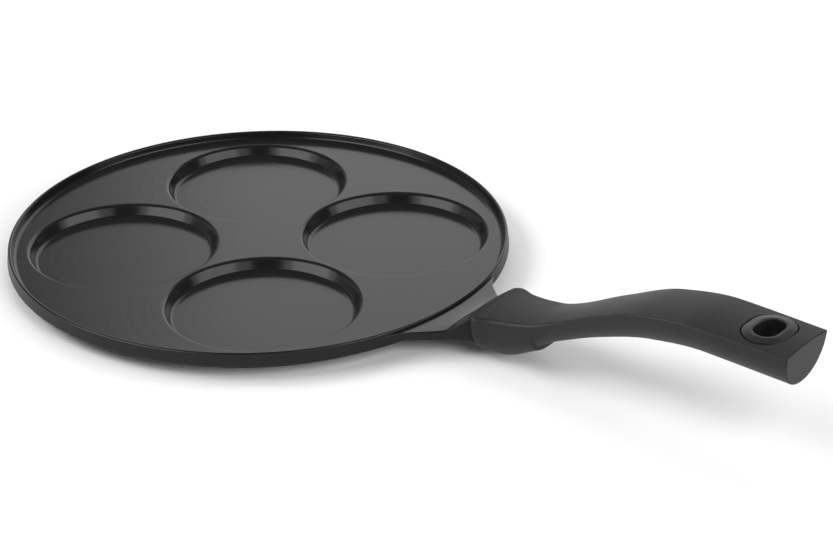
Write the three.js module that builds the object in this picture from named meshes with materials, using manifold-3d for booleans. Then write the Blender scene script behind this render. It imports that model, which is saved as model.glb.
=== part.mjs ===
// Blini pan: a coated aluminium casting with four round wells, and a moulded handle with a hang eyelet.
// Millimetres, +Z up. The origin is the centre of the base, on the table, and +X runs along the handle.
import * as THREE from 'three';
import { mergeVertices } from 'three/addons/utils/BufferGeometryUtils.js';
import Module from 'manifold-3d';

const wasm = await Module();
wasm.setup();

// Wells: their size sets the size of the pan
const WELL_COUNT = 4;
const WELL_RADIUS = 51.7; // outer edge of the rounded lip
const WELL_DEPTH = 6.4;
const WELL_WALL_SLOPE = 2.7; // how far the wall leans inwards on its way down
const WELL_LIP_ROUND = 2.3;
const WELL_FLOOR_ROUND = 2.4;
const WELL_WEB = 0.1; // plate left between two neighbouring lips
const WELL_MARGIN = 10.1; // from a lip to the outside of the rim

// Plate, rim and base
const RIM_HEIGHT = 14; // top of the rim above the table
const RIM_WIDTH = 2.6;
const RIM_ROUND = 1.1;
const RIM_WALL_SLOPE = 1.1;
const RIM_FOOT_ROUND = 1.2;
const PLATE_DROP = 3.6; // from the rim down to the plate
const FLANGE_DEPTH = 7.2; // height of the outer wall
const FLANGE_EDGE_ROUND = 1.2;
const BASE_WALL = 4.8; // base left outside the wells' floors
const BASE_EDGE_ROUND = 2;

// Bracket between the rim and the handle; heights are above the rim, minus is below it
const BRACKET_LENGTH = 23.4;
const BRACKET_TAPER = 0.8; // half width lost for each millimetre away from the rim
const BRACKET_ROOT_ANGLE = THREE.MathUtils.degToRad(21); // where its sides run into the rim
const BRACKET_ROOT_INSET = 0.6;
const BRACKET_ROOT_DROP = 0.6; // top of the bracket at the rim, below the rim
const BRACKET_ROOT_BEND = 0.6; // how far the bend at the rim reaches into the taper, as a share of its length
const BRACKET_SHELF = 11; // nearly flat stretch before the rise to the handle
const BRACKET_SHELF_HEIGHT = 0.5;
const BRACKET_STEP = 1.2; // top of the bracket below the top of the handle, where they meet
const BRACKET_UNDERSIDE = -5.6;
const BRACKET_EDGE_ROUND = 0.7;
const BRACKET_ROOT_FULLNESS = 9; // exponent of the lower curve: higher is squarer

// Tang: the tongue of the casting inside the handle
const TANG_LENGTH = 25;
const TANG_WIDTH = 15;
const TANG_THICKNESS = 8;
const TANG_HEIGHT = 2.5; // its middle, above the rim
const TANG_ROUND = 2;
const TANG_ROOT = 1; // its start inside the bracket

// Grip: stations along it from its front face, with heights above the rim.
// edge rounds the top's sides, crown lifts its middle, and a higher fullness squares the lower curve.
const FRONT = { at: 0, top: 10.7, halfWidth: 13.7, under: -8.2, edge: 2, crown: 1.6, fullness: 4.5 };
const SHOULDER = { at: 2.5, top: 13.4, halfWidth: 18.4, under: -8.5, edge: 2.1, crown: 0.8, fullness: 2.5 };
const WING = { at: 5.5, top: 13.1, halfWidth: 20.9, under: -9.2, edge: 2.2, crown: 0.9, fullness: 2.5 };
const BELLY = { at: 14, top: 13.6, halfWidth: 18.2, under: -10.7, edge: 2.1, crown: 0.9, fullness: 2.3 };
const WAIST = { at: 34, top: 16.8, halfWidth: 15.5, under: -1.8, edge: 1.9, crown: 0.9, fullness: 2.8 };
const NECK = { at: 47, top: 21.7, halfWidth: 14.1, under: 7.5, edge: 1.7, crown: 1, fullness: 2.1 };
const RISE = { at: 72, top: 34.1, halfWidth: 15.1, under: 18.7, edge: 1.4, crown: 1.1, fullness: 2.1 };
const ARCH = { at: 102, top: 46.4, halfWidth: 17.2, under: 28.3, edge: 1.1, crown: 1.2, fullness: 2.1 };
const SWELL = { at: 132, top: 50.9, halfWidth: 18.3, under: 32.4, edge: 0.9, crown: 1.2, fullness: 2.1 };
const TAIL = { at: 178.6, top: 51.3, halfWidth: 17, under: 31.4, edge: 0.8, crown: 1, fullness: 2.1 };
const BELLY_STEP = 2.8; // drop of the step behind the belly
const BELLY_STEP_AT = 36.6;
const BELLY_STEP_RUN = 0.9;
const FRONT_CHAMFER = 0.6;
const TAIL_CHAMFER = 0.7;
const TAIL_LEAN = THREE.MathUtils.degToRad(4.8); // the lower edge of the end face lies further in

// Hang eyelet: a stadium-shaped bush whose long side lies across the handle
const EYELET_TO_TAIL = 19.8;
const EYELET_STRETCH = 6; // straight stretch of its sides
const EYELET_HOLE_RADIUS = 5.8;
const EYELET_RING_RADIUS = 11.1;
const EYELET_TUBE_WALL = 1.6;
const EYELET_TUBE_DEPTH = 9;
const EYELET_SEAT_DEPTH = 1.8; // depth of the ring's seat below the crown of the handle
const EYELET_RING_EDGE = 1.5; // height of the ring's outer edge above the seat
const EYELET_RING_HEIGHT = 2.2;
const EYELET_RING_SLOPE = 3.6; // how far in from its edge the ring reaches its height
const EYELET_EDGE_ROUND = 0.5;
const EYELET_TOP_ROUND = 6;
const EYELET_INNER_ROUND = 0.5;
const EYELET_SEAM = 0.5; // open seam round the ring

// Screw and washer that hold the handle on the tang, from below
const SCREW_TO_TANG_END = 10.7;
const SCREW_RADIUS = 2.5;
const SCREW_GRIP = 6; // length of screw inside the tang
const SCREW_HEAD_RADIUS = 4.6;
const SCREW_HEAD_HEIGHT = 3;
const SCREW_HEAD_ROUND = 1.8;
const SCREW_TIP_ROUND = 0.6;
const SCREW_POCKET_DEPTH = 5.5; // from the belly up to the washer's seat
const WASHER_RADIUS = 4.9;
const WASHER_THICKNESS = 1.2;

const CLEARANCE = 0.3; // between pieces that seat on each other

// Smoothness of the faceted surfaces
const PAN_SEGMENTS = 80;
const WELL_SEGMENTS = 48;
const EYELET_SEGMENTS = 32;
const SCREW_SEGMENTS = 24;
const ROUND_STEPS = 3;
const BRACKET_STEPS = 7;
const STATION_STEP = 5.5;
const FLARE_STEP = 1.5;
const LONGEST_ROUND = 0.48; // of the side that it is cut from
const MERGE_DISTANCE = 1e-4;

// Sizes that follow from the ones above
const WELL_PITCH_RADIUS = (WELL_RADIUS + WELL_WEB / 2) / Math.sin(Math.PI / WELL_COUNT);
const PAN_RADIUS = WELL_PITCH_RADIUS + WELL_RADIUS + WELL_MARGIN;
const PLATE_HEIGHT = RIM_HEIGHT - PLATE_DROP;
const FLANGE_HEIGHT = RIM_HEIGHT - FLANGE_DEPTH;
const WELL_WALL_LEAN = Math.atan2(WELL_WALL_SLOPE, WELL_DEPTH);
const WELL_WALL_TOP = WELL_RADIUS - WELL_LIP_ROUND * Math.tan((Math.PI / 2 - WELL_WALL_LEAN) / 2);
const WELL_FLOOR_RADIUS = WELL_WALL_TOP - WELL_WALL_SLOPE;
const BASE_RADIUS = WELL_PITCH_RADIUS + WELL_FLOOR_RADIUS + BASE_WALL - WELL_FLOOR_ROUND;
const JOINT_X = PAN_RADIUS + BRACKET_LENGTH;
const GRIP_X = JOINT_X + CLEARANCE;
const EYELET_X = GRIP_X + TAIL.at - EYELET_TO_TAIL;
const SCREW_X = JOINT_X + TANG_LENGTH - SCREW_TO_TANG_END;

// Turns a closed geometry into a solid for joining and cutting
function toSolid(geometry) {
  const bare = geometry.clone();
  bare.deleteAttribute('normal');
  bare.deleteAttribute('uv');
  const merged = mergeVertices(bare, MERGE_DISTANCE);
  const corners = merged.index.array;
  const kept = [];
  for (let i = 0; i < corners.length; i += 3) {
    const [a, b, c] = [corners[i], corners[i + 1], corners[i + 2]];
    if (a !== b && b !== c && c !== a) kept.push(a, b, c);
  }
  return new wasm.Manifold(new wasm.Mesh({
    numProp: 3,
    vertProperties: new Float32Array(merged.attributes.position.array),
    triVerts: new Uint32Array(kept),
  }));
}

// Turns a solid back into a geometry
function toGeometry(solid) {
  const mesh = solid.getMesh();
  const geometry = new THREE.BufferGeometry();
  geometry.setAttribute('position', new THREE.BufferAttribute(mesh.vertProperties, 3));
  geometry.setIndex(new THREE.BufferAttribute(mesh.triVerts, 1));
  geometry.computeVertexNormals();
  return geometry;
}

// Outline through corners [across, up, round], with each round drawn as an arc
function roundedOutline(corners, closed = false) {
  const points = [];
  corners.forEach(([across, up, round = 0], index) => {
    const corner = new THREE.Vector2(across, up);
    const isEnd = !closed && (index === 0 || index === corners.length - 1);
    if (isEnd || round === 0) {
      points.push(corner);
      return;
    }
    const previous = corners.at(index - 1);
    const next = corners[(index + 1) % corners.length];
    const back = new THREE.Vector2(previous[0], previous[1]).sub(corner);
    const ahead = new THREE.Vector2(next[0], next[1]).sub(corner);
    const half = Math.acos(back.dot(ahead) / (back.length() * ahead.length())) / 2;
    const longest = LONGEST_ROUND * Math.min(back.length(), ahead.length());
    const reach = Math.min(round / Math.tan(half), longest);
    const start = corner.clone().add(back.normalize().multiplyScalar(reach));
    const end = corner.clone().add(ahead.normalize().multiplyScalar(reach));
    const radius = reach * Math.tan(half);
    const middle = start.clone().add(end).multiplyScalar(0.5).sub(corner).normalize();
    const centre = corner.clone().add(middle.multiplyScalar(radius / Math.sin(half)));
    const from = start.clone().sub(centre).angle();
    let sweep = end.clone().sub(centre).angle() - from;
    if (sweep > Math.PI) sweep -= 2 * Math.PI;
    if (sweep < -Math.PI) sweep += 2 * Math.PI;
    for (let i = 0; i <= ROUND_STEPS; i += 1) {
      const angle = from + sweep * i / ROUND_STEPS;
      points.push(new THREE.Vector2(Math.cos(angle), Math.sin(angle)).multiplyScalar(radius).add(centre));
    }
  });
  return points;
}

// Solid of revolution about +Z from an outline of [radius, height] points that runs upwards
function revolve(outline, segments, start = 0) {
  const geometry = new THREE.LatheGeometry(outline, segments, start);
  geometry.rotateX(Math.PI / 2);
  return geometry;
}

// Pulls a round shape apart across the handle, so that a circle becomes a stadium
function stretchAcross(geometry, length) {
  const position = geometry.attributes.position;
  for (let i = 0; i < position.count; i += 1) {
    position.setY(i, position.getY(i) + Math.sign(position.getY(i)) * length / 2);
  }
  return geometry;
}

// Smooth value along a row of stations, with no overshoot between them
function along(stations, key, at) {
  const last = stations.length - 1;
  const slopes = stations.slice(1).map((next, i) => {
    const previous = stations[i];
    return (next[key] - previous[key]) / (next.at - previous.at);
  });
  const tangents = stations.map((station, i) => {
    if (i === 0) return slopes[0];
    if (i === last) return slopes[last - 1];
    const [before, after] = [slopes[i - 1], slopes[i]];
    return before * after <= 0 ? 0 : 2 * before * after / (before + after);
  });
  const found = stations.findIndex((station) => station.at >= at);
  const k = found < 0 ? last - 1 : Math.max(found - 1, 0);
  const span = stations[k + 1].at - stations[k].at;
  const t = THREE.MathUtils.clamp((at - stations[k].at) / span, 0, 1);
  const rise = stations[k + 1][key] - stations[k][key];
  const ease = t * t * (3 - 2 * t);
  const lead = t * (1 - t) * (1 - t) * tangents[k] - t * t * (1 - t) * tangents[k + 1];
  return stations[k][key] + ease * rise + lead * span;
}

// Cross-section of bracket and grip, looking along -X: crowned top, rounded edges, full lower curve
function crossSection({ halfWidth, top, crown, edge, under, fullness }) {
  const crownSteps = 6;
  const edgeSteps = 3;
  const lowerSteps = 14;
  const round = Math.min(edge, halfWidth / 2, (top - under) / 2);
  const side = top - round;
  const points = [];
  for (let i = 0; i <= crownSteps; i += 1) {
    const u = 1 - 2 * i / crownSteps;
    points.push(new THREE.Vector2(u * (halfWidth - round), top + crown * (1 - u * u)));
  }
  const addEdge = (sign, from) => {
    for (let i = 1; i < edgeSteps; i += 1) {
      const angle = from + Math.PI / 2 * i / edgeSteps;
      const centre = sign * (halfWidth - round);
      points.push(new THREE.Vector2(centre + round * Math.cos(angle), side + round * Math.sin(angle)));
    }
  };
  addEdge(-1, Math.PI / 2);
  for (let i = 0; i <= lowerSteps; i += 1) {
    const angle = Math.PI * i / lowerSteps;
    const across = -Math.sign(Math.cos(angle)) * Math.abs(Math.cos(angle)) ** (2 / fullness);
    const down = Math.abs(Math.sin(angle)) ** (2 / fullness);
    points.push(new THREE.Vector2(halfWidth * across, side - (side - under) * down));
  }
  addEdge(1, 0);
  return points;
}

// Closed skin through cross-sections that follow each other along +X
function loft(sections) {
  const ring = sections[0].points.length;
  const positions = [];
  for (const { x, points } of sections) {
    for (const point of points) positions.push(x, point.x, point.y);
  }
  const index = [];
  for (let i = 0; i + 1 < sections.length; i += 1) {
    for (let j = 0; j < ring; j += 1) {
      const next = (j + 1) % ring;
      const [a, b, c, d] = [i * ring + j, i * ring + next, (i + 1) * ring + next, (i + 1) * ring + j];
      index.push(a, b, c, a, c, d);
    }
  }
  const endStart = (sections.length - 1) * ring;
  for (const [a, b, c] of THREE.ShapeUtils.triangulateShape(sections[0].points, [])) {
    index.push(a, c, b);
  }
  for (const [a, b, c] of THREE.ShapeUtils.triangulateShape(sections.at(-1).points, [])) {
    index.push(endStart + a, endStart + b, endStart + c);
  }
  const geometry = new THREE.BufferGeometry();
  geometry.setAttribute('position', new THREE.Float32BufferAttribute(positions, 3));
  geometry.setIndex(index);
  return geometry;
}

// Bar along +X with rounded long edges, from one X to another
function roundedBar(fromX, toX, width, thickness, height, round) {
  const outline = roundedOutline([
    [-width / 2, -thickness / 2, round],
    [width / 2, -thickness / 2, round],
    [width / 2, thickness / 2, round],
    [-width / 2, thickness / 2, round],
  ], true).map((point) => new THREE.Vector2(point.x, point.y + height));
  return loft([fromX, toX].map((x) => ({ x, points: outline })));
}

// Plate, rim and base, turned about the pan's axis
function panDisc() {
  const rimInside = PAN_RADIUS - RIM_WIDTH;
  return toSolid(revolve(roundedOutline([
    [0, 0],
    [BASE_RADIUS, 0, BASE_EDGE_ROUND],
    [BASE_RADIUS, FLANGE_HEIGHT, BASE_EDGE_ROUND],
    [PAN_RADIUS, FLANGE_HEIGHT, FLANGE_EDGE_ROUND],
    [PAN_RADIUS, RIM_HEIGHT, RIM_ROUND],
    [rimInside, RIM_HEIGHT, RIM_ROUND],
    [rimInside - RIM_WALL_SLOPE, PLATE_HEIGHT, RIM_FOOT_ROUND],
    [0, PLATE_HEIGHT],
  ]), PAN_SEGMENTS));
}

// One well as the shape that is cut out of the plate
function wellCutter(angle) {
  const lipOverlap = 0.02;
  // far enough out for the whole round of the lip
  const brim = WELL_WALL_TOP + (WELL_RADIUS - WELL_WALL_TOP) / LONGEST_ROUND;
  const cutter = revolve(roundedOutline([
    [0, PLATE_HEIGHT - WELL_DEPTH],
    [WELL_FLOOR_RADIUS, PLATE_HEIGHT - WELL_DEPTH, WELL_FLOOR_ROUND],
    [WELL_WALL_TOP, PLATE_HEIGHT + lipOverlap, WELL_LIP_ROUND],
    [brim, PLATE_HEIGHT + lipOverlap],
    [brim, RIM_HEIGHT + PLATE_DROP],
    [0, RIM_HEIGHT + PLATE_DROP],
  ]), WELL_SEGMENTS);
  cutter.translate(WELL_PITCH_RADIUS * Math.cos(angle), WELL_PITCH_RADIUS * Math.sin(angle), 0);
  return toSolid(cutter);
}

// Bracket: side edges run out of the rim in a curve, taper to the joint, and the top rises to the handle
function bracket() {
  const rootRadius = PAN_RADIUS - BRACKET_ROOT_INSET;
  const [rootCos, rootSin] = [Math.cos(BRACKET_ROOT_ANGLE), Math.sin(BRACKET_ROOT_ANGLE)];
  const root = new THREE.Vector2(rootRadius * rootCos, rootRadius * rootSin);
  const taperAt = (x) => FRONT.halfWidth + BRACKET_TAPER * (JOINT_X - x);
  const toCorner = (root.y - taperAt(root.x)) / (rootCos - BRACKET_TAPER * rootSin);
  const corner = new THREE.Vector2(root.x + toCorner * rootSin, root.y - toCorner * rootCos);
  const taperX = corner.x + toCorner * BRACKET_ROOT_BEND;
  const taperStart = new THREE.Vector2(taperX, taperAt(taperX));
  const taperEnd = new THREE.Vector2(JOINT_X, FRONT.halfWidth);
  const bend = new THREE.QuadraticBezierCurve(root, corner, taperStart).getPoints(BRACKET_STEPS);
  const taper = new THREE.LineCurve(taperStart, taperEnd).getPoints(BRACKET_STEPS);
  const heights = [
    { at: root.x, top: -BRACKET_ROOT_DROP, under: BRACKET_UNDERSIDE },
    { at: PAN_RADIUS, top: -BRACKET_ROOT_DROP / 2, under: BRACKET_UNDERSIDE },
    { at: PAN_RADIUS + BRACKET_SHELF, top: BRACKET_SHELF_HEIGHT, under: BRACKET_UNDERSIDE },
    { at: JOINT_X, top: FRONT.top - BRACKET_STEP, under: FRONT.under },
  ];
  const sections = [...bend, ...taper.slice(1)].map(({ x, y }) => {
    const share = THREE.MathUtils.smoothstep(x, PAN_RADIUS, JOINT_X);
    return {
      x,
      points: crossSection({
        halfWidth: y,
        top: RIM_HEIGHT + along(heights, 'top', x),
        under: RIM_HEIGHT + along(heights, 'under', x),
        crown: FRONT.crown * share,
        edge: THREE.MathUtils.lerp(BRACKET_EDGE_ROUND, FRONT.edge, share),
        fullness: THREE.MathUtils.lerp(BRACKET_ROOT_FULLNESS, FRONT.fullness, share),
      }),
    };
  });
  const insideRim = revolve([
    new THREE.Vector2(0, -RIM_HEIGHT),
    new THREE.Vector2(PAN_RADIUS - RIM_WIDTH / 2, -RIM_HEIGHT),
    new THREE.Vector2(PAN_RADIUS - RIM_WIDTH / 2, 2 * RIM_HEIGHT),
    new THREE.Vector2(0, 2 * RIM_HEIGHT),
  ], PAN_SEGMENTS);
  return toSolid(loft(sections)).subtract(toSolid(insideRim));
}

// Tang, or with a clearance the socket that takes it
function tang(clearance = 0) {
  return toSolid(roundedBar(
    JOINT_X - TANG_ROOT,
    JOINT_X + TANG_LENGTH + clearance,
    TANG_WIDTH + 2 * clearance,
    TANG_THICKNESS + 2 * clearance,
    RIM_HEIGHT + TANG_HEIGHT,
    TANG_ROUND + clearance,
  ));
}

// Round bar about the screw's axis
function screwBar(radius, fromZ, toZ) {
  const bar = revolve([
    new THREE.Vector2(0, fromZ),
    new THREE.Vector2(radius, fromZ),
    new THREE.Vector2(radius, toZ),
    new THREE.Vector2(0, toZ),
  ], SCREW_SEGMENTS);
  bar.translate(SCREW_X, 0, 0);
  return toSolid(bar);
}

// Grip: values of its cross-section at a distance from its front face
function gripSection(at) {
  const front = [FRONT, SHOULDER, WING, BELLY, WAIST];
  const back = [NECK, RISE, ARCH, SWELL, TAIL];
  const all = [...front, ...back];
  const behindStep = THREE.MathUtils.clamp((at - BELLY_STEP_AT) / BELLY_STEP_RUN, 0, 1);
  const bellyLine = [...front, { at: NECK.at, under: NECK.under - BELLY_STEP }];
  const bellyUnder = along(bellyLine, 'under', at);
  const neckLine = [{ at: WAIST.at, under: WAIST.under + BELLY_STEP }, ...back];
  const neckUnder = along(neckLine, 'under', at);
  const frontChamfer = Math.max(FRONT_CHAMFER - at, 0);
  const tailChamfer = Math.max(at - TAIL.at + TAIL_CHAMFER, 0);
  const chamfer = Math.max(frontChamfer, tailChamfer);
  return {
    halfWidth: along(all, 'halfWidth', at) - chamfer,
    top: RIM_HEIGHT + along(all, 'top', at) - chamfer,
    under: RIM_HEIGHT + THREE.MathUtils.lerp(bellyUnder, neckUnder, behindStep) + chamfer,
    crown: along(all, 'crown', at),
    edge: along(all, 'edge', at),
    fullness: along(all, 'fullness', at),
  };
}

// Outer skin of the grip, with close stations on its flare, at the belly's step and at its end
function gripSkin() {
  const places = [0];
  for (let at = FRONT_CHAMFER; at < BELLY.at - FLARE_STEP / 2; at += FLARE_STEP) places.push(at);
  for (let at = BELLY.at; at < TAIL.at - STATION_STEP / 2; at += STATION_STEP) places.push(at);
  places.push(BELLY_STEP_AT, BELLY_STEP_AT + BELLY_STEP_RUN, TAIL.at - TAIL_CHAMFER, TAIL.at);
  places.sort((a, b) => a - b);
  return leanTail(loft(places.map((at) => ({ x: GRIP_X + at, points: crossSection(gripSection(at)) }))));
}

// Leans the sections behind the swell, more and more towards the end face
function leanTail(geometry) {
  const position = geometry.attributes.position;
  for (let i = 0; i < position.count; i += 1) {
    const at = position.getX(i) - GRIP_X;
    const share = THREE.MathUtils.clamp((at - SWELL.at) / (TAIL.at - SWELL.at), 0, 1);
    const depth = RIM_HEIGHT + TAIL.top - position.getZ(i);
    position.setX(i, position.getX(i) - Math.tan(TAIL_LEAN) * share * depth);
  }
  return geometry;
}

const eyeletCrown = gripSection(TAIL.at - EYELET_TO_TAIL);
const EYELET_SEAT = eyeletCrown.top + eyeletCrown.crown - EYELET_SEAT_DEPTH;

// Stadium-shaped solid about the eyelet's axis, from an outline of [radius, height] points
function eyeletShape(outline) {
  const halfSegment = Math.PI / EYELET_SEGMENTS;
  const shape = stretchAcross(revolve(outline, EYELET_SEGMENTS, halfSegment), EYELET_STRETCH);
  shape.translate(EYELET_X, 0, 0);
  return toSolid(shape);
}

// Slot for the eyelet: wide seat for its ring, room for its tube, and the hole right through
function eyeletSlot() {
  const ring = EYELET_RING_RADIUS + EYELET_SEAM;
  const tube = EYELET_HOLE_RADIUS + EYELET_TUBE_WALL + CLEARANCE;
  const above = EYELET_SEAT + EYELET_TUBE_DEPTH;
  return eyeletShape([
    [0, RIM_HEIGHT],
    [EYELET_HOLE_RADIUS, RIM_HEIGHT],
    [EYELET_HOLE_RADIUS, EYELET_SEAT - EYELET_TUBE_DEPTH - CLEARANCE],
    [tube, EYELET_SEAT - EYELET_TUBE_DEPTH - CLEARANCE],
    [tube, EYELET_SEAT - CLEARANCE],
    [ring, EYELET_SEAT - CLEARANCE],
    [ring, above],
    [0, above],
  ].map(([radius, height]) => new THREE.Vector2(radius, height)));
}

function panBodyGeometry() {
  let body = panDisc();
  for (let i = 0; i < WELL_COUNT; i += 1) {
    body = body.subtract(wellCutter((i + 0.5) * 2 * Math.PI / WELL_COUNT));
  }
  const tangUnderside = RIM_HEIGHT + TANG_HEIGHT - TANG_THICKNESS / 2;
  const screwHole = screwBar(
    SCREW_RADIUS + CLEARANCE,
    tangUnderside - TANG_THICKNESS,
    tangUnderside + SCREW_GRIP + CLEARANCE,
  );
  return toGeometry(body.add(bracket()).add(tang()).subtract(screwHole));
}

const bellyAtScrew = gripSection(SCREW_X - GRIP_X);
const WASHER_SEAT = bellyAtScrew.under + SCREW_POCKET_DEPTH;

function handleGripGeometry() {
  const skin = toSolid(gripSkin());
  const screwHole = screwBar(SCREW_RADIUS + CLEARANCE, bellyAtScrew.under, RIM_HEIGHT + TANG_HEIGHT);
  const headPocket = screwBar(
    WASHER_RADIUS + CLEARANCE,
    bellyAtScrew.under - SCREW_POCKET_DEPTH,
    WASHER_SEAT + CLEARANCE,
  );
  const cut = skin.subtract(tang(CLEARANCE)).subtract(screwHole).subtract(headPocket);
  return toGeometry(cut.subtract(eyeletSlot()));
}

// Eyelet: a convex ring on the handle's top, and a tube down into the slot
function hangEyeletGeometry() {
  const tube = EYELET_HOLE_RADIUS + EYELET_TUBE_WALL;
  const foot = EYELET_SEAT - EYELET_TUBE_DEPTH;
  const ringTop = EYELET_SEAT + EYELET_RING_HEIGHT;
  const outline = roundedOutline([
    [EYELET_HOLE_RADIUS, foot],
    [tube, foot],
    [tube, EYELET_SEAT],
    [EYELET_RING_RADIUS, EYELET_SEAT],
    [EYELET_RING_RADIUS, EYELET_SEAT + EYELET_RING_EDGE, EYELET_EDGE_ROUND],
    [EYELET_RING_RADIUS - EYELET_RING_SLOPE, ringTop, EYELET_TOP_ROUND],
    [EYELET_HOLE_RADIUS, ringTop, EYELET_INNER_ROUND],
  ], true);
  return toGeometry(eyeletShape([...outline, outline[0]]));
}

// Screw with a domed head below and its shank up into the tang
function handleScrewGeometry() {
  const headTop = WASHER_SEAT - WASHER_THICKNESS - CLEARANCE;
  const shankTop = RIM_HEIGHT + TANG_HEIGHT - TANG_THICKNESS / 2 + SCREW_GRIP;
  const screw = revolve(roundedOutline([
    [0, headTop - SCREW_HEAD_HEIGHT],
    [SCREW_HEAD_RADIUS, headTop - SCREW_HEAD_HEIGHT, SCREW_HEAD_ROUND],
    [SCREW_HEAD_RADIUS, headTop],
    [SCREW_RADIUS, headTop],
    [SCREW_RADIUS, shankTop, SCREW_TIP_ROUND],
    [0, shankTop],
  ]), SCREW_SEGMENTS);
  screw.translate(SCREW_X, 0, 0);
  return toGeometry(toSolid(screw));
}

function lockWasherGeometry() {
  const ring = screwBar(WASHER_RADIUS, WASHER_SEAT - WASHER_THICKNESS, WASHER_SEAT);
  const hole = screwBar(
    SCREW_RADIUS + CLEARANCE,
    WASHER_SEAT - 2 * WASHER_THICKNESS,
    WASHER_SEAT + WASHER_THICKNESS,
  );
  return toGeometry(ring.subtract(hole));
}

// Named piece with its own finish
function piece(name, geometry, color, roughness, metalness) {
  const material = new THREE.MeshStandardMaterial({ color, roughness, metalness });
  material.name = `${name}_finish`;
  const mesh = new THREE.Mesh(geometry, material);
  mesh.name = name;
  return mesh;
}

const bliniPan = new THREE.Group();
bliniPan.name = 'blini_pan';
bliniPan.add(
  piece('pan_body', panBodyGeometry(), 0x3d3c3f, 0.42, 0.35),
  piece('handle_grip', handleGripGeometry(), 0x2f2d2e, 0.55, 0),
  piece('hang_eyelet', hangEyeletGeometry(), 0x353334, 0.3, 0),
  piece('handle_screw', handleScrewGeometry(), 0xb4b4b2, 0.35, 1),
  piece('lock_washer', lockWasherGeometry(), 0xa6a6a4, 0.4, 1),
);

export default bliniPan;
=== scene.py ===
"""Blini pan in its studio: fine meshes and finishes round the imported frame.

Sizes are millimetres, and metres() turns them into Blender's metres when a mesh is made.
"""
from math import atan2, ceil, cos, pi, radians, sin, sqrt, tan

import bmesh
import bpy
from mathutils import Matrix, Vector


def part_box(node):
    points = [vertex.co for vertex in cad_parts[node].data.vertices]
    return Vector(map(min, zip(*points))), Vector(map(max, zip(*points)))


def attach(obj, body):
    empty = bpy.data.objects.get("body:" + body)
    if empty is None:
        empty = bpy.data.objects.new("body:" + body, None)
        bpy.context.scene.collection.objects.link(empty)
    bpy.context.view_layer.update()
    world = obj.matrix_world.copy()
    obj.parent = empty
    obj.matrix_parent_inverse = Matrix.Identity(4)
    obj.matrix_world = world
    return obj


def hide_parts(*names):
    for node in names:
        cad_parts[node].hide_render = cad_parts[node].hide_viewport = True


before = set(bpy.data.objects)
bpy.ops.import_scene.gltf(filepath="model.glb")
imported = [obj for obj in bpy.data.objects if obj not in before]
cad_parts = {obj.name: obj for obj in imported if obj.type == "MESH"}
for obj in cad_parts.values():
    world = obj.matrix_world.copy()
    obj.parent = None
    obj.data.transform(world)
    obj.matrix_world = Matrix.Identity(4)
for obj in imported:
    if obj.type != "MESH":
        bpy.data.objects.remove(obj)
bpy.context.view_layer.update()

MM = 0.001

# Wells
WELL_COUNT = 4
WELL_RADIUS = 51.7  # outer edge of the rounded lip
WELL_DEPTH = 6.4
WELL_WALL_SLOPE = 2.7
WELL_LIP_ROUND = 2.3
WELL_FLOOR_ROUND = 2.4
WELL_WEB = 0.1

# Plate, rim and base
PAN_RADIUS = -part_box("pan_body")[0][0] / MM
RIM_HEIGHT = 14.0  # the other heights are measured from here
RIM_CREST = 1.2  # crest above that height
RIM_FLARE = 0.8  # the outer wall leans out by this from the crest down
RIM_WIDTH = 2.6
RIM_ROUND = 0.9
RIM_INNER_ROUND = 1.2
RIM_WALL_SLOPE = 0.9
RIM_FOOT_ROUND = 2.0
PLATE_DROP = 3.6
FLANGE_DEPTH = 6.4
FLANGE_EDGE_ROUND = 1.2
BASE_WALL = 4.8
BASE_EDGE_ROUND = 2.0
GROOVE_PITCH = 5.0  # turned grooves in the base
GROOVE_WIDTH = 1.6
GROOVE_DEPTH = 0.35
GROOVE_SLOPE = 0.35
FIRST_GROOVE = 9.0

# Bracket and tang; heights are above the rim
BRACKET_LENGTH = 23.4
BRACKET_TAPER = 0.8
BRACKET_ROOT_ANGLE = radians(21)
BRACKET_ROOT_INSET = 0.9
BRACKET_ROOT_DROP = 0.6
BRACKET_ROOT_BEND = 0.6
BRACKET_SHELF = 11.0
BRACKET_SHELF_HEIGHT = 0.5
BRACKET_STEP = 1.2
BRACKET_UNDERSIDE = -5.6
BRACKET_EDGE_ROUND = 0.7
BRACKET_ROOT_FULLNESS = 9.0
BRACKET_END_ROUND = 0.5
TANG_LENGTH = 25.0
TANG_WIDTH = 15.0
TANG_THICKNESS = 8.0
TANG_HEIGHT = 2.5
TANG_ROUND = 2.0
TANG_ROOT = 1.0

# Grip stations: distance from the front face, then heights above the rim and the section's shape
STATION_KEYS = ("at", "top", "half_width", "under", "edge", "crown", "fullness")
FRONT, SHOULDER, WING, BELLY, WAIST, NECK, RISE, ARCH, SWELL, TAIL = (
    dict(zip(STATION_KEYS, values))
    for values in (
        (0.0, 10.7, 13.7, -8.2, 2.0, 1.6, 4.5),
        (2.5, 13.4, 18.4, -8.5, 2.1, 0.8, 2.5),
        (5.5, 13.1, 20.9, -9.2, 2.2, 0.9, 2.5),
        (14.0, 13.6, 18.2, -10.7, 2.1, 0.9, 2.3),
        (34.0, 16.8, 15.5, -1.8, 1.9, 0.9, 2.8),
        (47.0, 21.7, 14.1, 7.5, 1.7, 1.0, 2.1),
        (72.0, 34.1, 15.1, 18.7, 1.4, 1.1, 2.1),
        (102.0, 46.4, 17.2, 28.3, 1.1, 1.2, 2.1),
        (132.0, 50.9, 18.3, 32.4, 0.9, 1.2, 2.1),
        (178.6, 51.3, 17.0, 31.4, 0.8, 1.0, 2.1),
    )
)
BELLY_STEP = 2.8
BELLY_STEP_AT = 36.6
BELLY_STEP_RUN = 0.9
FRONT_ROUND = 0.6
TAIL_ROUND = 0.7
TAIL_LEAN = radians(4.8)

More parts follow.
